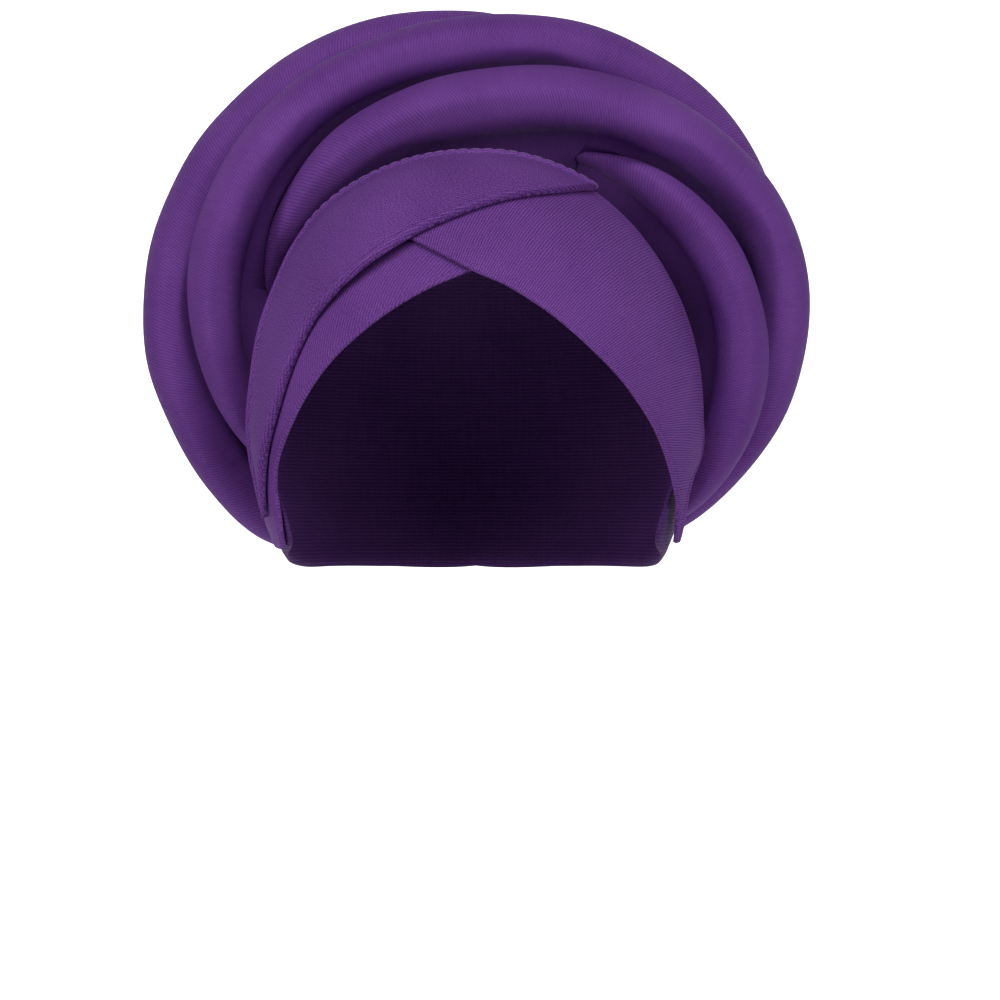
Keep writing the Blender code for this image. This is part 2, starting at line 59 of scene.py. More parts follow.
cloth = {
    "capWall": 1.5,
    "bandWall": 1.8,
    "layerGap": 0.5,
    "clearance": 0.3,
    "seatClearance": 0.4,  # between the rolls and what lies under them
    "ripple": 0.7,  # soft unevenness of cloth on hair, the same in every layer
    "rippleSize": 24.7,
    "ripplePlace": Vector((5.27, 13.09, 2.21)),
    "capRipple": 0.5,  # share of the ripple that the cap has
}


def signedPower(value, power):
    return math.copysign(abs(value) ** power, value)


def headAxes(offset, lift=0.0):
    below = head["rise"] if offset.z >= 0 else head["drop"]
    return head["halfWidth"] + lift, head["halfDepth"] + lift, below + lift


def headShare(offset, lift=0.0):  # 1 on the head, less inside it and more outside
    return sum(abs(o / a) ** head["fullness"] for o, a in zip(offset, headAxes(offset, lift)))


def headPoint(direction, lift=0.0):
    axes = headAxes(direction)
    onHead = direction * headShare(direction) ** (-1.0 / head["fullness"])
    slope = Vector(
        signedPower(onHead[k] / axes[k], head["fullness"] - 1.0) / axes[k] for k in range(3)
    )
    return head["centre"] + onHead + slope.normalized() * lift


def ripple(direction):
    place = direction * (head["radius"] / cloth["rippleSize"]) + cloth["ripplePlace"]
    return cloth["ripple"] * noise.noise(place)


def seenOnHead(x, z, lift):  # where the sight line through (x, z) of the crown plane meets the head
    ray = (Vector((x, 0.0, z)) - eye).normalized()

    def share(distance):
        return headShare(eye + ray * distance - head["centre"], lift)

    low, high = sight["near"], sight["far"]
    for _ in range(sight["rounds"]):
        third = (high - low) / 3
        if share(low + third) < share(high - third):
            high -= third
        else:
            low += third
    outside, deepest = sight["near"], low
    if share(deepest) >= 1.0:  # the line misses the head, and passes closest here
        return (eye + ray * deepest - head["centre"]).normalized()
    for _ in range(sight["rounds"]):
        middle = (outside + deepest) / 2
        if share(middle) > 1.0:
            outside = middle
        else:
            deepest = middle
    return (eye + ray * outside - head["centre"]).normalized()


def placedOnHead(clock, y):
    angle = math.radians(clock)
    flat = Vector((math.cos(angle), 0.0, math.sin(angle)))
    share = 1.0 - abs(y / head["halfDepth"]) ** head["fullness"]
    radius = (share / headShare(flat)) ** (1.0 / head["fullness"])
    return (flat * radius + Vector((0.0, y, 0.0))).normalized()


def smoothRows(rows, positions):  # rows of a table, read at positions counted in rows
    read = []
    last = len(rows) - 1
    for position in positions:
        k = min(int(position), last - 1)
        t = position - k
        four = [rows[min(max(k + j, 0), last)] for j in (-1, 0, 1, 2)]
        read.append([
            0.5 * (2 * b + (c - a) * t + (2 * a - 5 * b + 4 * c - d) * t * t
                   + (3 * b - a - 3 * c + d) * t * t * t)
            for a, b, c, d in zip(*four)
        ])
    return read


def evenPositions(points, step):
    lengths = [0.0]
    for a, b in zip(points, points[1:]):
        lengths.append(lengths[-1] + (b - a).length)
    count = max(2, round(lengths[-1] / step))
    positions = []
    k = 0
    for j in range(count + 1):
        wanted = lengths[-1] * j / count
        while k < len(points) - 2 and lengths[k + 1] < wanted:
            k += 1
        positions.append(k + (wanted - lengths[k]) / (lengths[k + 1] - lengths[k]))
    return positions


def newPiece(name, bm):
    mesh = bpy.data.meshes.new(name)
    bm.to_mesh(mesh)
    bm.free()
    piece = bpy.data.objects.new(name, mesh)
    bpy.context.scene.collection.objects.link(piece)
    mesh.shade_smooth()
    return piece


def faceOutwards(bm):
    bmesh.ops.recalc_face_normals(bm, faces=bm.faces)
    if bm.calc_volume(signed=True) < 0:
        bmesh.ops.reverse_faces(bm, faces=bm.faces)


def clothGrid(outer, inner, laid):  # a closed wall, laid holds each point's place on the flat cut
    bm = bmesh.new()
    uv = bm.loops.layers.uv.new("flat")
    made = [[[bm.verts.new(p * mm) for p in row] for row in grid] for grid in (outer, inner)]
    rows, columns = len(outer), len(outer[0])

    def face(corners, places):
        built = bm.faces.new(corners)
        for loop, (i, j) in zip(built.loops, places):
            loop[uv].uv = laid[i][j]

    for i in range(rows - 1):
        for j in range(columns - 1):
            places = [(i, j), (i + 1, j), (i + 1, j + 1), (i, j + 1)]
            face([made[0][a][b] for a, b in places], places)
            places.reverse()
            face([made[1][a][b] for a, b in places], places)
    edge = [(i, 0) for i in range(rows)] + [(rows - 1, j) for j in range(1, columns)]
    edge += [(i, columns - 1) for i in range(rows - 2, -1, -1)]
    edge += [(0, j) for j in range(columns - 2, 0, -1)]
    for p, q in zip(edge, edge[1:] + edge[:1]):
        places = [q, p, p, q]
        face([made[side][i][j] for side, (i, j) in zip((0, 0, 1, 1), places)], places)
    faceOutwards(bm)
    return bm


# crossed front bands

bandLook = {
    "cell": 1.6,
    "fineCell": 0.4,  # near both edges, where folds, hems and seams lie
    "fineWidth": 7.0,
    "fineShare": 0.35,  # and at most this share of a narrow band
    "edgeRound": 0.9,
    "edgeStart": 0.05,  # keeps the two sides of the wall apart at the very edge
    "edgeShares": (0.0, 0.15, 0.45),  # close rows where an edge turns over
    "hemWidth": 2.2,  # from a plain edge to its row of stitching
    "hemSink": 0.5,
    "seamWidth": 0.8,
    "fadeWidth": 16.0,  # folds and hems are lower where a band is narrower
}
foldLook = {
    "width": 3.0,
    "start": 0.18,  # share of its half wave that lies before the edge
    "groove": 1.45,
    "groovePlace": 0.4,  # how far beside it the groove lies
    "grooveWidth": 0.8,
}
hemLook = {"width": 2.8, "start": 0.25, "groove": 1.1, "groovePlace": 0.3, "grooveWidth": 0.9}

# faceX and faceZ place the face edge as it looks from the front. rearClock and rearY place the
# rear edge by its angle round the middle of the head and its distance behind the crown. layer is
# 1 where the band lies on the cap, 2 over one other band and 3 over two.
bandRow = namedtuple("bandRow", "faceX faceZ rearClock rearY layer")
underBand = {
    "rows": [
        (-67.8, -133.2, 211.5, -16.0, 1.0),
        (-69.6, -119.0, 203.0, -9.0, 1.0),
        (-70.6, -110.0, 196.0, -2.0, 1.0),
        (-69.2, -98.7, 187.0, 0.0, 1.0),
        (-62.3, -81.9, 173.0, 0.0, 1.0),
        (-50.0, -64.7, 155.0, -2.0, 1.0),
        (-35.0, -51.1, 138.0, -4.0, 1.0),
        (-18.0, -40.3, 121.0, -8.0, 1.0),
        (-1.1, -33.1, 105.0, -16.0, 1.0),
        (14.0, -27.5, 90.0, -32.0, 1.0),
    ],
    "step": 1.7,
    "fold": 0.0,
    "rearHem": 0.0,
    "twillTurn": 60.0,
}
crossBand = {
    "rows": [
        (-46.0, -14.0, 119.0, -20.0, 2.0),
        (-23.4, -21.7, 102.0, -22.0, 2.0),
        (-1.1, -33.1, 82.0, -20.0, 2.0),
        (12.0, -39.0, 71.0, -14.0, 2.0),
        (26.6, -48.3, 59.0, -7.0, 2.0),
        (40.0, -60.0, 46.0, -1.0, 2.0),
        (52.0, -72.6, 31.0, 2.0, 2.0),
        (61.6, -86.2, 14.0, 3.0, 2.0),
        (66.6, -96.4, 2.0, 2.0, 2.0),
        (69.4, -104.6, -6.5, -16.0, 2.0),
        (71.2, -111.3, -13.0, -31.0, 2.0),
        (72.6, -119.0, -21.0, -31.0, 2.0),
        (71.5, -131.5, -30.0, -24.0, 2.0),
    ],
    "step": 1.2,
    "fold": 0.0,
    "rearHem": 0.35,
    "twillTurn": 10.0,
}
overBand = {
    "rows": [
        (41.4, -3.3, 63.0, -14.0, 3.0),
        (21.2, -6.0, 78.0, -18.0, 3.0),
        (5.3, -9.7, 90.0, -21.0, 3.0),
        (-11.7, -16.1, 102.0, -19.0, 3.0),
        (-23.4, -21.7, 112.0, -15.0, 3.0),
        (-37.2, -30.9, 124.0, -12.0, 3.0),
        (-48.9, -41.6, 135.0, -12.0, 2.5),
        (-58.4, -54.3, 146.0, -20.0, 2.0),
        (-67.6, -75.6, 166.0, -28.0, 2.0),
        (-72.9, -95.4, 184.0, -26.0, 2.0),
        (-74.6, -111.7, 195.0, -30.0, 2.0),
        (-74.2, -121.5, 204.5, -30.0, 2.0),
    ],
    "step": 0.7,  # close, because its columns cross the fold and the hem at a slant
    "fold": 1.6,  # height of the rolled fold along its face edge
    "rearHem": 0.95,
    "twillTurn": 90.0,
}


def layerHeight(row):  # of the band's inner side above the head
    return cloth["capWall"] + cloth["layerGap"] + (row.layer - 1) * (cloth["bandWall"] + cloth["layerGap"])


def bandEdges(row):
    face = seenOnHead(row.faceX, row.faceZ, layerHeight(row) + cloth["bandWall"])
    return face, placedOnHead(row.rearClock, row.rearY)


def bandRows(band, positions):
    return [bandRow(*row) for row in smoothRows(band["rows"], positions)]


def bandWidth(a, b):
    return (headPoint(b) - headPoint(a)).length


def dip(distance, place, width):  # 1 in the middle of a groove, 0 outside it
    return max(0.0, 1.0 - abs(distance - place) / width) ** 2


def raisedEdge(look, height, distance):  # a rolled edge with a groove beside it
    groove = look["groove"] * dip(distance, look["width"] + look["groovePlace"], look["grooveWidth"])
    if distance >= look["width"]:
        return -groove
    wave = look["start"] + (1.0 - look["start"]) * distance / look["width"]
    return height * math.sin(math.pi * wave) - groove


def bandHeight(band, fromFace, width):  # height over the plain cloth
    if band["fold"]:
        height = raisedEdge(foldLook, band["fold"], fromFace)
    else:
        height = -bandLook["hemSink"] * dip(fromFace, bandLook["hemWidth"], bandLook["seamWidth"])
    if band["rearHem"]:
        height += raisedEdge(hemLook, band["rearHem"], width - fromFace)
    return height * min(1.0, width / bandLook["fadeWidth"])


def bandDistances(width, cells):  # from the face edge to the rear edge
    look = bandLook
    fineCells = round((look["fineWidth"] - look["edgeRound"]) / look["fineCell"])
    fine = min(look["fineWidth"], width * look["fineShare"])
    zone = fine - look["edgeRound"]
    start = [share * look["edgeRound"] for share in look["edgeShares"]]
    start += [look["edgeRound"] + zone * k / fineCells for k in range(fineCells)]
    plain = [fine + (width - 2 * fine) * k / cells for k in range(cells + 1)]
    return start + plain + [width - d for d in reversed(start)]


def makeBand(name, band, grow=0.0):  # grow makes it thicker and wider, to cut its room with
    half = cloth["bandWall"] / 2
    edges = [bandEdges(bandRow(*row)) for row in band["rows"]]
    middles = [headPoint(a.lerp(b, 0.5).normalized(), cloth["bandWall"]) for a, b in edges]
    rows = bandRows(band, evenPositions(middles, band["step"]))
    edges = [bandEdges(row) for row in rows]
    widths = [bandWidth(a, b) for a, b in edges]
    cells = round(max(widths) / bandLook["cell"])
    outer, inner, laid = [], [], []
    along = 0.0
    before = None
    for row, (a, b), width in zip(rows, edges, widths):
        middle = headPoint(a.lerp(b, 0.5).normalized())
        along += (middle - before).length if before else 0.0
        before = middle
        across = -width / 2
        outerRow, innerRow, laidRow = [], [], []
        for distance in bandDistances(width, cells):
            fromRear = width - distance
            bend = min(1.0, (min(distance, fromRear) + bandLook["edgeStart"]) / bandLook["edgeRound"])
            thick = half * math.sqrt(1 - (1 - bend) ** 2)
            share = distance / width
            if distance == 0.0:
                share -= grow * 2 / width
            if fromRear == 0.0:
                share += grow * 2 / width
            d = a.lerp(b, share).normalized()
            level = layerHeight(row) + half + ripple(d)
            height = bandHeight(band, distance, width) * thick / half
            point = headPoint(d, level + thick + height + grow)
            across += (point - outerRow[-1]).length if outerRow else 0.0
            outerRow.append(point)
            innerRow.append(headPoint(d, level - thick - grow))
            laidRow.append((along * mm, across * mm))
        outer.append(outerRow)
        inner.append(innerRow)
        laid.append(laidRow)
    return newPiece(name, clothGrid(outer, inner, laid))


# stretch cap

# rim holds x, y and z from the middle of the cap's front edge round to the middle of the nape, on
# the viewer's right. The other side mirrors it.
cap = {
    "axis": Vector((0.0, 0.55, 0.835)).normalized(),  # it spreads from here, up and back
    "rim": [
        (0.0, -26.0, -3.0),
        (30.0, -25.0, -11.0),
        (52.0, -23.0, -28.0),
        (68.0, -20.0, -58.0),
        (73.0, -26.0, -89.0),
        (68.0, -38.0, -111.0),
        (63.0, -38.0, -129.0),
        (66.0, -2.0, -136.0),
        (55.0, 50.0, -141.0),
        (33.0, 76.0, -142.0),
        (0.0, 86.0, -142.0),
    ],
    "sectors": 200,
    "rings": 60,
    "radius": 85.0,  # turns an angle at the head's centre into a length
    "hemWidth": 9.0,
    "hemHeight": 0.35,
    "groove": 0.35,  # of its stitching
    "grooveWidth": 0.9,
    "edgeRound": 0.8,
    "edgeStart": 0.08,
}


def capLift(direction, toRim, outside):
    half = cloth["capWall"] / 2
    hem = cap["hemHeight"] if toRim < cap["hemWidth"] else 0.0
    hem -= cap["groove"] * dip(toRim, cap["hemWidth"], cap["grooveWidth"])
    rounded = min(1.0, (toRim + cap["edgeStart"]) / cap["edgeRound"])
    thick = half * math.sqrt(1 - (1 - rounded) ** 2)
    level = half + ripple(direction) * cloth["capRipple"]
    return level + thick if outside else level - thick - hem * rounded


def makeCap():
    points = [headPoint((Vector(row) - head["centre"]).normalized()) for row in cap["rim"]]
    length = sum((b - a).length for a, b in zip(points, points[1:]))
    half = [
        (Vector(row) - head["centre"]).normalized()
        for row in smoothRows(cap["rim"], evenPositions(points, length / (cap["sectors"] // 2)))
    ]
    rim = half + [Vector((-d.x, d.y, d.z)) for d in half[-2:0:-1]]
    bm = bmesh.new()
    uv = bm.loops.layers.uv.new("flat")
    sides = []
    for outside in (True, False):
        pole = bm.verts.new(headPoint(cap["axis"], cloth["capWall"] if outside else 0.0) * mm)
        rings = []
        for i in range(1, cap["rings"] + 1):
            ring = []
            for edge in rim:
                direction = cap["axis"].slerp(edge, i / cap["rings"])
                lift = capLift(direction, direction.angle(edge) * cap["radius"], outside)
                ring.append(bm.verts.new(headPoint(direction, lift) * mm))
            rings.append(ring)
        sides.append((pole, rings))

    def place(vert):
        return (math.atan2(vert.co.x, vert.co.y) * head["radius"] * mm, vert.co.z)

    def face(corners):
        built = bm.faces.new(corners)
        for loop in built.loops:
            loop[uv].uv = place(loop.vert)

    count = len(rim)
    for pole, rings in sides:
        for k in range(count):
            n = (k + 1) % count
            face([pole, rings[0][k], rings[0][n]])
            for near, far in zip(rings, rings[1:]):
                face([near[k], far[k], far[n], near[n]])
    for k in range(count):
        n = (k + 1) % count
        face([sides[0][1][-1][k], sides[1][1][-1][k], sides[1][1][-1][n], sides[0][1][-1][n]])
    faceOutwards(bm)
    return newPiece("cap_cloth", bm)


# padded rolls

# A roll's section has a round side and a keel, its seam side, which runs in to the cap behind.
rollLook = {
    "step": 5.0,
    "sides": 40,
    "egg": 0.3,
    "crest": 0.45,  # how far inside its outline the side to the viewer stands highest
    "valley": 1.35,  # and where that side turns straight back, both in depths
    "keelBack": 10.0,  # the keel points back by this many degrees more than the lean
    "keelDrop": 0.6,  # its tip lies this many depths further from the viewer
    "keelSink": 5.0,  # how far past the cap's surface it would reach, before it is cut there
    "keelShare": 1.8,  # its greatest length, in outward half sizes
    "keelStep": 0.25,
    "plainLean": 40.0,  # from this lean on its section is a plain egg
    "tipShare": 0.8,  # length of each closed end, in outward half sizes
    "shrink": 1.2,  # taken off before the stuffing swells it
    "swellCap": 2.0,  # no point moves further than this
    "dent": 0.9,  # hand-made unevenness
    "dentSize": 34.0,
    "girth": 90.0,  # round a roll, for its gathers
}

# clock runs anticlockwise from the viewer's right. reach is the radius of the middle line, depth
# its place behind the crown plane, out and deep its half sizes, lean the backward turn in degrees.
rollRow = namedtuple("rollRow", "clock reach depth out deep lean")
# end is 0 where the rows start and 1 where they stop, spread and depth are lengths, folds a count.
gather = namedtuple("gather", "end spread depth folds")
innerRoll = {
    "rows": [
        (74.0, 65.0, 36.0, 3.0, 3.5, -15.0),
        (66.0, 69.0, 34.0, 4.0, 4.5, -15.0),
        (58.0, 72.2, 31.0, 5.3, 5.8, -15.0),
        (51.0, 74.0, 27.0, 7.0, 7.5, -15.0),
        (43.0, 75.8, 20.0, 10.2, 10.6, -15.0),
        (32.0, 79.0, 13.0, 13.2, 12.8, -15.0),
        (18.0, 84.1, 9.5, 15.0, 14.0, -15.0),
        (0.0, 89.4, 9.0, 15.5, 14.5, -15.0),
        (-16.0, 91.0, 10.0, 15.5, 14.5, -12.0),
        (-28.0, 90.6, 13.0, 14.5, 14.0, -8.0),
        (-36.0, 90.0, 18.0, 13.0, 12.5, 0.0),
        (-42.0, 90.0, 28.0, 9.5, 9.5, 5.0),
        (-46.0, 88.0, 38.0, 5.0, 5.0, 10.0),
    ],
    "gathers": [(0.0, 26.0, 0.6, 7), (1.0, 14.0, 0.6, 7)],
}
frontRoll = {
    "rows": [
        (192.0, 72.0, 36.0, 4.0, 5.0, -15.0),
        (176.0, 73.2, 32.0, 5.0, 6.0, -15.0),
        (161.0, 74.2, 26.0, 6.4, 7.5, -15.0),
        (147.0, 73.6, 19.0, 9.4, 11.0, -15.0),
        (130.0, 74.2, 13.0, 12.4, 14.8, -15.0),
        (110.0, 75.2, 10.5, 14.6, 17.3, -15.0),
        (90.0, 76.9, 12.0, 16.2, 18.5, -15.0),
        (70.0, 82.2, 16.0, 17.8, 18.0, -15.0),
        (54.0, 88.3, 21.0, 18.7, 17.0, -15.0),
        (38.0, 95.0, 26.0, 19.0, 15.5, -15.0),
        (22.0, 101.2, 32.0, 18.8, 15.5, -15.0),
        (6.0, 102.3, 36.0, 18.2, 15.5, -12.0),
        (-10.0, 99.3, 39.0, 17.5, 15.5, -8.0),
        (-24.0, 94.2, 42.0, 16.5, 15.0, 0.0),
        (-36.0, 89.5, 48.0, 15.5, 14.5, 8.0),
        (-45.0, 84.5, 60.0, 14.0, 14.0, 20.0),
        (-53.0, 75.5, 79.0, 12.0, 13.5, 45.0),
        (-66.0, 63.5, 95.0, 10.5, 12.5, 70.0),
        (-87.0, 57.0, 102.0, 9.5, 11.5, 88.0),
    ],
    "gathers": [(0.0, 30.0, 0.8, 7), (1.0, 28.0, 0.9, 8)],
}
middleRoll = {
    "rows": [
        (-22.0, 64.0, 68.0, 5.0, 5.0, -5.0),
        (-10.0, 78.0, 68.0, 8.0, 7.5, -6.0),
        (1.0, 88.5, 66.0, 11.0, 9.5, -8.0),
        (14.0, 97.0, 63.0, 14.0, 12.0, -10.0),
        (30.0, 102.4, 57.0, 16.5, 13.5, -12.0),
        (46.0, 101.6, 50.0, 18.0, 14.5, -15.0),
        (62.0, 99.5, 43.0, 18.7, 15.0, -15.0),
        (78.0, 96.3, 37.0, 19.0, 15.0, -15.0),
        (94.0, 93.6, 31.0, 19.0, 15.0, -15.0),
        (112.0, 92.0, 26.0, 18.8, 15.0, -15.0),
        (130.0, 91.5, 22.0, 18.2, 15.0, -15.0),
        (148.0, 90.8, 18.0, 17.2, 15.0, -15.0),
        (166.0, 89.3, 15.0, 15.8, 15.0, -15.0),
        (184.0, 86.3, 14.0, 14.2, 14.0, -12.0),
        (198.0, 84.0, 17.0, 11.8, 12.0, -8.0),
        (208.0, 82.5, 24.0, 8.8, 9.5, 0.0),
        (216.0, 81.0, 34.0, 5.0, 5.0, 5.0),
    ],
    "gathers": [(0.0, 24.0, 0.9, 8), (1.0, 18.0, 0.8, 7)],
}
backRoll = {
    "rows": [
        (28.0, 56.0, 80.0, 5.0, 5.0, -5.0),
        (43.0, 76.0, 77.0, 7.5, 7.0, -5.0),
        (57.0, 90.0, 73.0, 10.0, 8.5, -6.0),
        (71.0, 96.5, 68.0, 12.5, 10.0, -8.0),
        (86.0, 98.5, 62.0, 15.0, 12.0, -10.0),
        (100.0, 97.8, 56.0, 18.0, 14.0, -12.0),
        (116.0, 98.6, 51.0, 19.6, 15.0, -15.0),
        (132.0, 98.8, 47.0, 20.6, 15.5, -15.0),
        (148.0, 98.7, 43.0, 21.4, 15.5, -15.0),
        (164.0, 98.2, 41.0, 22.0, 15.5, -15.0),
        (180.0, 96.6, 40.0, 22.0, 15.5, -12.0),
        (196.0, 93.0, 40.0, 21.4, 15.5, -8.0),
        (210.0, 91.0, 43.0, 19.8, 15.5, 0.0),
        (220.0, 89.7, 50.0, 18.2, 15.0, 8.0),
        (227.0, 85.0, 63.0, 16.0, 14.5, 22.0),
        (235.0, 74.5, 81.0, 13.5, 13.5, 48.0),
        (248.0, 62.8, 95.5, 11.0, 12.5, 70.0),
        (267.0, 57.0, 102.0, 9.5, 11.5, 88.0),
    ],
    "gathers": [(0.0, 26.0, 0.9, 8), (1.0, 28.0, 0.9, 8)],
}


def rollSection(row):
    angle, lean = math.radians(row.clock), math.radians(row.lean)
    scale = 1.0 - row.depth / eye.y
    radial = Vector((math.cos(angle), 0.0, math.sin(angle)))
    middle = eye + (haloCentre + radial * row.reach - eye) * scale
    outward = radial * math.cos(lean) + Vector((0.0, math.sin(lean), 0.0))
    back = math.radians(rollLook["keelBack"]) - lean
    inward = Vector((0.0, math.sin(back), 0.0)) - radial * math.cos(back)
    spread = min(1.0, max(0.0, 1.0 - row.lean / rollLook["plainLean"]))
    return middle, outward, inward, row.out * scale, row.deep * scale, spread


def sectionPoint(turn, out, deep, keel, spread):  # distance outwards or inwards, and to the side
    look = rollLook
    reach = math.cos(turn)
    rise = out * reach if reach > 0 else keel * reach
    width = deep * math.sin(turn) * (1 + look["egg"] * reach)
    if math.sin(turn) < 1e-6:
        return rise, width - look["keelDrop"] * deep * spread * min(0.0, reach) ** 2
    crest = out - look["crest"] * deep
    valley = out - look["valley"] * deep
    rounded = crest + (out - crest if reach > 0 else crest - valley) * reach
    return rise + (rounded - rise) * spread, width + (deep * math.sin(turn) - width) * spread


def keelLength(middle, inward, out):
    length = 0.0
    while length < rollLook["keelShare"] * out:
        if headShare(middle + inward * length - head["centre"], cloth["capWall"]) < 1.0:
            break
        length += rollLook["keelStep"]
    return min(max(out, length + rollLook["keelSink"]), rollLook["keelShare"] * out)


def makeRoll(name, roll):
    look = rollLook
    middles = [rollSection(rollRow(*row))[0] for row in roll["rows"]]
    positions = evenPositions(middles, look["step"])
    sections = [rollSection(rollRow(*row)) for row in smoothRows(roll["rows"], positions)]
    last, sides = len(sections) - 1, look["sides"]
    bm = bmesh.new()
    uv = bm.loops.layers.uv.new("flat")
    rings, places, tips = [], [], []
    along = 0.0
    viewerSide = 1 if roll["rows"][0][0] > roll["rows"][-1][0] else -1
    for k, (middle, outward, inward, out, deep, spread) in enumerate(sections):
        ahead = (sections[min(k + 1, last)][0] - sections[max(k - 1, 0)][0]).normalized()
        outward = (outward - ahead * outward.dot(ahead)).normalized()
        sideways = ahead.cross(outward)
        inward = (inward - ahead * inward.dot(ahead)).normalized()
        keel = keelLength(middle, inward, out) - look["shrink"]
        along += (middle - sections[max(k - 1, 0)][0]).length
        ring, around, place = [], 0.0, []
        for j in range(sides):
            turn = math.pi + 2 * math.pi * j / sides
            rise, width = sectionPoint(turn, out - look["shrink"], deep - look["shrink"], keel, spread)
            point = middle + (outward * rise if rise > 0 else inward * -rise)
            point += sideways * width * viewerSide
            around += (point - ring[-1]).length if ring else 0.0
            ring.append(point)
            place.append((along * mm, around * mm))
        around += (ring[0] - ring[-1]).length
        place.append((along * mm, around * mm))
        rings.append([bm.verts.new(p * mm) for p in ring])
        places.append(place)
        if k in (0, last):
            sign = -1 if k == 0 else 1
            tip = middle + ahead * sign * out * look["tipShare"]
            tips.append((bm.verts.new(tip * mm), along * mm))

    def face(corners, laid):
        built = bm.faces.new(corners)
        for loop, spot in zip(built.loops, laid):
            loop[uv].uv = spot

    for k in range(last):
        for j in range(sides):
            n = (j + 1) % sides
            near, far = rings[k], rings[k + 1]
            face(
                [near[j], far[j], far[n], near[n]],
                [places[k][j], places[k + 1][j], places[k + 1][j + 1], places[k][j + 1]],
            )
    for ring, place, (tip, spot) in ((rings[0], places[0], tips[0]), (rings[-1], places[-1], tips[1])):
        for j in range(sides):
            n = (j + 1) % sides
            face([tip, ring[j], ring[n]], [(spot, place[j][1]), place[j], place[j + 1]])
    faceOutwards(bm)
    return newPiece(name, bm)


def runCloth(piece, frames=20):  # the stuffing presses the cover out from inside
    swell = piece.modifiers.new("stuffing", "CLOTH")
    settings = swell.settings
    settings.quality = 5
    settings.mass = 0.25
    settings.tension_stiffness = 25
    settings.compression_stiffness = 25
    settings.shear_stiffness = 8
    settings.bending_stiffness = 3
    settings.use_pressure = True
    settings.uniform_pressure_force = 3.0
    settings.effector_weights.gravity = 0.0
    swell.collision_settings.use_collision = False
    swell.point_cache.frame_start = 1
    swell.point_cache.frame_end = frames
    scene = bpy.context.scene
    before = [v.co.copy() for v in piece.data.vertices]
    for step in range(1, frames + 1):
        scene.frame_set(step)
    graph = bpy.context.evaluated_depsgraph_get()
    swollen = piece.evaluated_get(graph).to_mesh()
    after = [v.co.copy() for v in swollen.vertices]
    piece.modifiers.remove(swell)
    scene.frame_set(1)
    limit = rollLook["swellCap"] * mm
    for vertex, old, new in zip(piece.data.vertices, before, after):
        move = new - old
        if move.length > limit:
            move *= limit / move.length
        vertex.co = old + move
    piece.data.update()


def applyModifier(piece, modifier):
    bpy.ops.object.select_all(action="DESELECT")
    bpy.context.view_layer.objects.active = piece
    piece.select_set(True)
    bpy.ops.object.modifier_apply(modifier=modifier.name)


def subdivide(piece, levels=1):
    modifier = piece.modifiers.new("smooth", "SUBSURF")
    modifier.levels = modifier.render_levels = levels
    applyModifier(piece, modifier)


def unevenRoll(piece, roll):  # dents of hand stuffing, and gathers where each end is tucked in
    mesh = piece.data
    mesh.update()
    layer = mesh.uv_layers["flat"].data
    laid = {}
    for loop in mesh.loops:
        laid.setdefault(loop.vertex_index, layer[loop.index].uv.copy())
    length = max(place.x for place in laid.values()) / mm
    moves = []
    for vertex in mesh.vertices:
        place = vertex.co / (rollLook["dentSize"] * mm)
        move = rollLook["dent"] * noise.noise(place)
        along, around = laid[vertex.index] / mm
        for end, spread, depth, folds in (gather(*row) for row in roll["gathers"]):
            turn = folds * 2 * math.pi * around / rollLook["girth"] + 2 * noise.noise(place * 2)
            move += depth * math.sin(turn) * math.exp(-(((along - end * length) / spread) ** 2))
        moves.append(vertex.normal * move * mm)
    for vertex, move in zip(mesh.vertices, moves):
        vertex.co += move
    mesh.update()


def grownCopy(piece, by):
    copy = piece.copy()
    copy.data = piece.data.copy()
    copy.name = piece.name + "_room"
    bpy.context.scene.collection.objects.link(copy)
    normals = [v.normal.copy() for v in copy.data.vertices]
    for vertex, normal in zip(copy.data.vertices, normals):
        vertex.co += normal * by * mm
    return copy


def cutClear(piece, rooms):
    for room in rooms:
        before = len(piece.data.vertices)
        cut = piece.modifiers.new("clear", "BOOLEAN")
        cut.operation = "DIFFERENCE"
        cut.object = room
        cut.solver = "MANIFOLD"
        applyModifier(piece, cut)
        print("  ", piece.name, "clear of", room.name, before, "->", len(piece.data.vertices))


def headRoom():
    bm = bmesh.new()
    bmesh.ops.create_icosphere(bm, subdivisions=6, radius=1.0)
    for vertex in bm.verts:
        d = vertex.co.normalized()
        lift = cloth["capWall"] + cloth["seatClearance"] + ripple(d) * cloth["capRipple"]
        vertex.co = headPoint(d, lift) * mm
    faceOutwards(bm)
    return newPiece("head_room", bm)


print("cap and bands")
capCloth = makeCap()
underCloth = makeBand("under_band_cloth", underBand)
crossCloth = makeBand("cross_band_cloth", crossBand)
overCloth = makeBand("over_band_cloth", overBand)

print("rolls")
rollPieces = {}
for name, roll in (("inner", innerRoll), ("front", frontRoll), ("middle", middleRoll), ("back", backRoll)):
    piece = makeRoll("roll_" + name + "_cloth", roll)
    runCloth(piece)
    subdivide(piece)
    unevenRoll(piece, roll)
    rollPieces[name] = piece

seats = [headRoom()]
for name, band in (("under_room", underBand), ("cross_room", crossBand), ("over_room", overBand)):
    seats.append(makeBand(name, band, grow=cloth["seatClearance"]))
rooms = {name: grownCopy(rollPieces[name], cloth["clearance"]) for name in ("inner", "front", "middle")}
cutClear(rollPieces["inner"], seats)
cutClear(rollPieces["front"], seats + [rooms["inner"]])
cutClear(rollPieces["middle"], seats + [rooms["front"]])
cutClear(rollPieces["back"], seats + [rooms["front"], rooms["middle"]])
for room in seats + list(rooms.values()):
    bpy.data.objects.remove(room, do_unlink=True)

# stitches along the upper hem

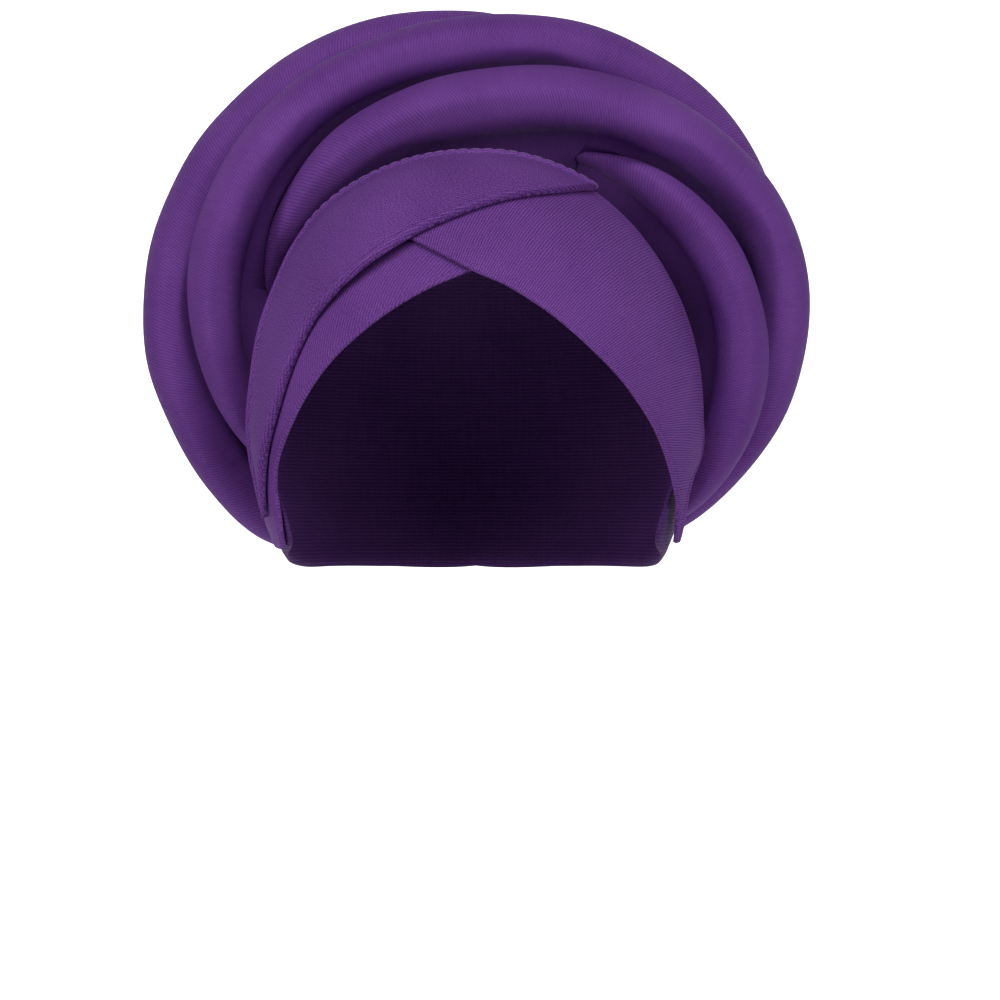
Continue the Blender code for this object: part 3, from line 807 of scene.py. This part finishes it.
stitchLook = {
    "length": 3.5,
    "thick": 0.45,
    "pitch": 4.0,
    "inset": 0.9,
    "start": 0.01,  # shares of the hem's length between which they show
    "end": 0.52,
    "sink": 0.25,  # how far both ends go into the cloth
    "tipShare": 0.4,
    "rings": 8,
    "sides": 8,
}


def hemLine(count=400):  # points along the upper hem, each with its direction away from the head
    inset = stitchLook["inset"]
    line = []
    for row in bandRows(overBand, [k * (len(overBand["rows"]) - 1) / count for k in range(count + 1)]):
        a, b = bandEdges(row)
        width = bandWidth(a, b)
        d = a.lerp(b, 1 - inset / width).normalized()
        height = bandHeight(overBand, width - inset, width)
        point = headPoint(d, layerHeight(row) + cloth["bandWall"] + height + ripple(d))
        line.append((point, (headPoint(d, 50) - headPoint(d)).normalized()))
    return line


def addStitch(bm, place, ahead, up):
    look = stitchLook
    sides = look["sides"]
    around = [2 * math.pi * j / sides for j in range(sides)]
    side = ahead.cross(up)
    rings = []
    for k in range(look["rings"] + 1):
        t = k / look["rings"] - 0.5
        arch = math.sqrt(max(0.0, 1 - abs(2 * t) ** 5))
        centre = place + ahead * t * look["length"] + up * look["sink"] * (arch - 1)
        radius = look["thick"] / 2 * (look["tipShare"] + (1 - look["tipShare"]) * arch)
        rings.append([
            bm.verts.new((centre + (side * math.cos(w) + up * math.sin(w)) * radius) * mm) for w in around
        ])
    for near, far in zip(rings, rings[1:]):
        for j in range(sides):
            n = (j + 1) % sides
            bm.faces.new([near[j], near[n], far[n], far[j]])
    bm.faces.new(rings[0][::-1])
    bm.faces.new(rings[-1])


def makeStitches():
    look = stitchLook
    line = hemLine()
    bm = bmesh.new()
    travelled, wanted = 0.0, 0.0
    total = sum((q[0] - p[0]).length for p, q in zip(line, line[1:]))
    for (p, up), (q, _) in zip(line, line[1:]):
        travelled += (q - p).length
        if travelled < wanted or not look["start"] < travelled / total < look["end"]:
            continue
        wanted = travelled + look["pitch"]
        addStitch(bm, p, (q - p).normalized(), up)
    bmesh.ops.recalc_face_normals(bm, faces=bm.faces)
    return newPiece("hem_stitches", bm)


stitches = makeStitches()
print("stitches made")

# finishes


def setInputs(tree, node, given):  # a given socket is linked, any other value is set
    for name, value in given.items():
        if isinstance(value, bpy.types.NodeSocket):
            tree.links.new(value, node.inputs[name])
        else:
            node.inputs[name].default_value = value


def addNode(tree, kind, given):
    node = tree.nodes.new(kind)
    setInputs(tree, node, given)
    return node


def mathNode(tree, operation, a, b=None):
    node = tree.nodes.new("ShaderNodeMath")
    node.operation = operation
    for socket, value in zip(node.inputs, (a, b)):
        if isinstance(value, (int, float)):
            socket.default_value = value
        elif value is not None:
            tree.links.new(value, socket)
    return node.outputs[0]


def plus(tree, a, b):
    return mathNode(tree, "ADD", a, b)


def times(tree, a, b):
    return mathNode(tree, "MULTIPLY", a, b)


def fineNoise(tree, place, scale, detail=2.0):
    node = addNode(tree, "ShaderNodeTexNoise", {"Vector": place, "Scale": scale, "Detail": detail})
    return node.outputs["Fac"]


def newGroup(name, inputs, outputs):  # a node group, what it is given and where its results go
    group = bpy.data.node_groups.new(name, "ShaderNodeTree")
    for socket, kind in inputs.items():
        group.interface.new_socket(socket, in_out="INPUT", socket_type=kind)
    for socket in outputs:
        group.interface.new_socket(socket, in_out="OUTPUT", socket_type="NodeSocketFloat")
    return group, group.nodes.new("NodeGroupInput").outputs, group.nodes.new("NodeGroupOutput")


weaveLook = {
    "wander": 0.0007,  # how far a twill line strays, in metres
    "wanderScale": 160.0,
    "crossTurns": 9.0,  # of the crossing threads, in radians to each pitch of the lines
    "grainScale": 2100.0,
    "lineHeight": 0.32,
    "crossHeight": 0.12,
    "grainHeight": 1.6,
    "grainShade": 4.0,
}


def weaveGroup():  # twill lines, crossing threads and fine grain of a cloth laid flat, in metres
    look = weaveLook
    group, given, result = newGroup(
        "clothWeave",
        {
            "Flat": "NodeSocketVector",
            "Line pitch": "NodeSocketFloat",
            "Turn": "NodeSocketFloat",
            "Grain": "NodeSocketFloat",
        },
        ("Height", "Shade"),
    )
    turned = addNode(group, "ShaderNodeVectorRotate", {"Vector": given["Flat"], "Angle": given["Turn"]})
    turned.rotation_type = "Z_AXIS"
    split = addNode(group, "ShaderNodeSeparateXYZ", {"Vector": turned.outputs["Vector"]})
    strayed = times(group, fineNoise(group, given["Flat"], look["wanderScale"]), look["wander"])
    lineTurn = mathNode(group, "DIVIDE", plus(group, split.outputs["X"], strayed), given["Line pitch"])
    lines = mathNode(group, "SINE", times(group, lineTurn, 2 * math.pi))
    crossTurn = mathNode(group, "DIVIDE", split.outputs["Y"], given["Line pitch"])
    cross = mathNode(group, "SINE", times(group, crossTurn, look["crossTurns"]))
    speck = mathNode(group, "SUBTRACT", fineNoise(group, given["Flat"], look["grainScale"]), 0.5)
    fine = times(group, speck, given["Grain"])
    raised = plus(group, times(group, lines, look["lineHeight"]), times(group, cross, look["crossHeight"]))
    setInputs(group, result, {
        "Height": plus(group, plus(group, raised, 0.5), times(group, fine, look["grainHeight"])),
        "Shade": plus(group, raised, times(group, fine, look["grainShade"])),
    })
    return group


streakLook = {
    "stretch": (820.0, 60.0, 1.0),  # a wale is narrow along a roll and long round it
    "fadeScale": 26.0,
    "detail": 3.0,
}


def streakGroup():  # long irregular wales that run round a roll, and slow changes of dye
    look = streakLook
    group, given, result = newGroup(
        "clothStreaks",
        {"Flat": "NodeSocketVector", "Place": "NodeSocketVector"},
        ("Streak", "Fade"),
    )
    stretch = addNode(group, "ShaderNodeMapping", {"Vector": given["Flat"], "Scale": look["stretch"]})
    setInputs(group, result, {
        "Streak": fineNoise(group, stretch.outputs["Vector"], 1.0, look["detail"]),
        "Fade": fineNoise(group, given["Place"], look["fadeScale"], look["detail"]),
    })
    return group


clothWeave = weaveGroup()
clothStreaks = streakGroup()

violet = {
    "deep": (0.055, 0.014, 0.105),
    "plain": (0.135, 0.043, 0.245),
    "light": (0.21, 0.082, 0.345),
    "fade": 0.35,
    "roughness": 0.72,
    "threadShine": -0.06,  # change of roughness on a raised thread
    "relief": 0.0004,
    "waleRelief": 1.2,
    "sheen": 0.01,
    "sheenRoughness": 0.45,
    "sheenTint": (0.62, 0.42, 0.85, 1.0),
    "specular": 0.08,
}


def newMaterial(name):
    material = bpy.data.materials.new(name)
    material.use_nodes = True
    return material, material.node_tree, material.node_tree.nodes["Principled BSDF"]


def colourRamp(tree, fac, stops):  # stops are places and colours
    ramp = addNode(tree, "ShaderNodeValToRGB", {"Fac": fac})
    elements = ramp.color_ramp.elements
    while len(elements) < len(stops):
        elements.new(0.5)
    for element, (place, colour) in zip(elements, stops):
        element.position = place
        element.color = (*colour, 1.0)
    return ramp.outputs["Color"]


def makeCloth(name, turn, pitch=0.0011, streaks=0.14, paintedShade=1.0, bump=0.3, grain=0.35, thread=0.4):
    look = violet
    material, tree, shader = newMaterial(name)
    flat = tree.nodes.new("ShaderNodeUVMap")
    flat.uv_map = "flat"
    place = tree.nodes.new("ShaderNodeTexCoord").outputs["Object"]
    weave = tree.nodes.new("ShaderNodeGroup")
    weave.node_tree = clothWeave
    setInputs(tree, weave, {
        "Flat": flat.outputs["UV"], "Line pitch": pitch, "Turn": math.radians(turn), "Grain": grain,
    })
    streak = tree.nodes.new("ShaderNodeGroup")
    streak.node_tree = clothStreaks
    setInputs(tree, streak, {"Flat": flat.outputs["UV"], "Place": place})

    wale = times(tree, mathNode(tree, "SUBTRACT", streak.outputs["Streak"], 0.5), streaks)
    fade = times(tree, mathNode(tree, "SUBTRACT", streak.outputs["Fade"], 0.5), look["fade"])
    threads = times(tree, weave.outputs["Shade"], thread)
    tone = plus(tree, plus(tree, plus(tree, wale, fade), threads), 0.5)
    # this factor darkens all three colours; below 1 it paints shade into the cloth
    deep, plain, light = ([c * paintedShade for c in look[key]] for key in ("deep", "plain", "light"))
    shine = times(tree, weave.outputs["Shade"], look["threadShine"])
    raised = addNode(tree, "ShaderNodeBump", {
        "Strength": bump,
        "Distance": look["relief"],
        "Height": plus(tree, weave.outputs["Height"], times(tree, wale, look["waleRelief"])),
    })
    setInputs(tree, shader, {
        "Base Color": colourRamp(tree, tone, [(0.15, deep), (0.5, plain), (0.85, light)]),
        "Roughness": plus(tree, shine, look["roughness"]),
        "Normal": raised.outputs["Normal"],
        "Sheen Weight": look["sheen"],
        "Sheen Roughness": look["sheenRoughness"],
        "Sheen Tint": look["sheenTint"],
        "Specular IOR Level": look["specular"],
    })
    return material


threadLook = {
    "dark": (0.12, 0.055, 0.20),
    "light": (0.25, 0.15, 0.37),
    "twistScale": 1500.0,
    "relief": 0.0001,
    "bump": 0.3,
    "roughness": 0.5,
    "specular": 0.15,
}


def makeThread():
    look = threadLook
    material, tree, shader = newMaterial("stitch_thread")
    place = tree.nodes.new("ShaderNodeTexCoord").outputs["Object"]
    twist = addNode(tree, "ShaderNodeTexWave", {
        "Vector": place, "Scale": look["twistScale"], "Distortion": 1.0,
    })
    twist.bands_direction = "DIAGONAL"
    raised = addNode(tree, "ShaderNodeBump", {
        "Strength": look["bump"], "Distance": look["relief"], "Height": twist.outputs["Fac"],
    })
    setInputs(tree, shader, {
        "Base Color": colourRamp(tree, twist.outputs["Fac"], [(0.0, look["dark"]), (1.0, look["light"])]),
        "Normal": raised.outputs["Normal"],
        "Roughness": look["roughness"],
        "Specular IOR Level": look["specular"],
    })
    return material


finishes = {
    "twillCross": makeCloth(
        "violet_twill_cross", crossBand["twillTurn"], pitch=0.00098, thread=0.7, grain=0.6
    ),
    "twillUnder": makeCloth("violet_twill_under", underBand["twillTurn"], thread=0.45, bump=0.2, grain=0.8),
    "twillOver": makeCloth(
        "violet_twill_over", overBand["twillTurn"], streaks=0.05, thread=0.45, bump=0.15, grain=1.2
    ),
    "rollTwill": makeCloth("violet_twill_roll", 20.0, pitch=0.0009, thread=0.28),
    # the cap's jersey is drawn at half brightness: painted shade for the recesses beside the bands and
    # rolls, where the cap shows
    "jersey": makeCloth("violet_jersey_cap", 90.0, pitch=0.0013, streaks=0.3, paintedShade=0.5, grain=0.6),
}
for piece, finish in (
    (capCloth, "jersey"),
    (underCloth, "twillUnder"),
    (crossCloth, "twillCross"),
    (overCloth, "twillOver"),
    *((p, "rollTwill") for p in rollPieces.values()),
):
    piece.data.materials.clear()
    piece.data.materials.append(finishes[finish])
stitches.data.materials.append(makeThread())
print("finishes made")

# what each piece rides on, replaces and is cut from

pairs = [
    (capCloth, "cap", "violet_jersey"),
    (underCloth, "under_band", "violet_scuba"),
    (crossCloth, "cross_band", "violet_scuba"),
    (overCloth, "over_band", "violet_scuba"),
    (rollPieces["inner"], "roll_inner", "violet_scuba"),
    (rollPieces["front"], "roll_front", "violet_scuba"),
    (rollPieces["middle"], "roll_middle", "violet_scuba"),
    (rollPieces["back"], "roll_back", "violet_scuba"),
]
for piece, node, slot in pairs:
    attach(piece, "root")
    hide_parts(node)
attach(stitches, "root")


def clothArea(piece):
    return sum(p.area for p in piece.data.polygons) / 2


for piece in (capCloth, underCloth, crossCloth, overCloth):
    print("  cloth area", piece.name, round(clothArea(piece), 4), "m2")

# floor, light and camera

stage = {
    "front": -2.6,
    "floor": -1.1,
    "wall": 2.6,
    "top": 2.4,
    "halfWidth": 3.0,
    "bend": 0.5,  # radius between floor and wall
    "bendSteps": 24,
    "colour": (0.93, 0.93, 0.935),
    "worldLight": 0.004,
}


def makeStage():
    bpy.ops.object.select_all(action="DESELECT")
    bpy.ops.mesh.primitive_plane_add(size=1.0, location=(0.0, 0.0, 0.0))
    backdrop = bpy.context.active_object
    backdrop.name = "backdrop"
    mesh = backdrop.data
    bm = bmesh.new()
    profile = [(stage["front"], stage["floor"])]
    for k in range(stage["bendSteps"] + 1):
        angle = math.pi / 2 * k / stage["bendSteps"]
        profile.append((
            stage["wall"] - stage["bend"] + stage["bend"] * math.sin(angle),
            stage["floor"] + stage["bend"] - stage["bend"] * math.cos(angle),
        ))
    profile.append((stage["wall"], stage["top"]))
    ends = (-stage["halfWidth"], stage["halfWidth"])
    rows = [[bm.verts.new((x, y, z)) for x in ends] for y, z in profile]
    for near, far in zip(rows, rows[1:]):
        bm.faces.new([near[0], near[1], far[1], far[0]])
    bmesh.ops.recalc_face_normals(bm, faces=bm.faces)
    bm.to_mesh(mesh)
    bm.free()
    mesh.shade_smooth()
    paper, tree, shader = newMaterial("backdrop_paper")
    setInputs(tree, shader, {"Base Color": (*stage["colour"], 1.0), "Roughness": 0.9})
    mesh.materials.append(paper)


makeStage()

lights = [
    # name, place, size, watts
    ("top", (0.0, -0.8, 1.3), (0.8, 0.5), 9.0),
    ("front_left", (-0.6, -1.5, 0.5), (0.5, 0.6), 6.2),
    ("front_right", (0.6, -1.5, 0.5), (0.5, 0.6), 5.4),
    ("left", (-1.3, -0.85, 0.1), (0.5, 0.9), 7.8),
    ("right", (1.3, -0.85, 0.1), (0.5, 0.9), 7.8),
    ("backdrop_left", (-1.2, 1.3, 0.9), (1.0, 1.0), 40.0),
    ("backdrop_right", (1.2, 1.3, 0.9), (1.0, 1.0), 40.0),
]
aims = {"backdrop_left": (-0.3, 2.6, 0.0), "backdrop_right": (0.3, 2.6, 0.0)}
for name, place, size, watts in lights:
    data = bpy.data.lights.new(name, "AREA")
    data.shape = "RECTANGLE"
    data.size, data.size_y = size
    data.energy = watts
    lamp = bpy.data.objects.new(name, data)
    bpy.context.scene.collection.objects.link(lamp)
    lamp.location = place
    aim = Vector(aims.get(name, (0.0, 0.0, -0.05)))
    lamp.rotation_euler = (aim - Vector(place)).to_track_quat("-Z", "Y").to_euler()

world = bpy.data.worlds.new("studio")
world.use_nodes = True
setInputs(world.node_tree, world.node_tree.nodes["Background"], {
    "Color": (1.0, 1.0, 1.0, 1.0), "Strength": stage["worldLight"],
})
bpy.context.scene.world = world
bpy.context.scene.view_settings.view_transform = "Standard"

lens = bpy.data.cameras.new("camera")
lens.sensor_width = 36.0
lens.lens = 36.0 * -eye.y / (1000 * pixelAtCrown)
camera = bpy.data.objects.new("camera", lens)
bpy.context.scene.collection.objects.link(camera)
camera.location = eye * mm
camera.rotation_euler = (math.radians(90.0), 0.0, 0.0)
bpy.context.scene.camera = camera
print("stage, lights and camera ready")
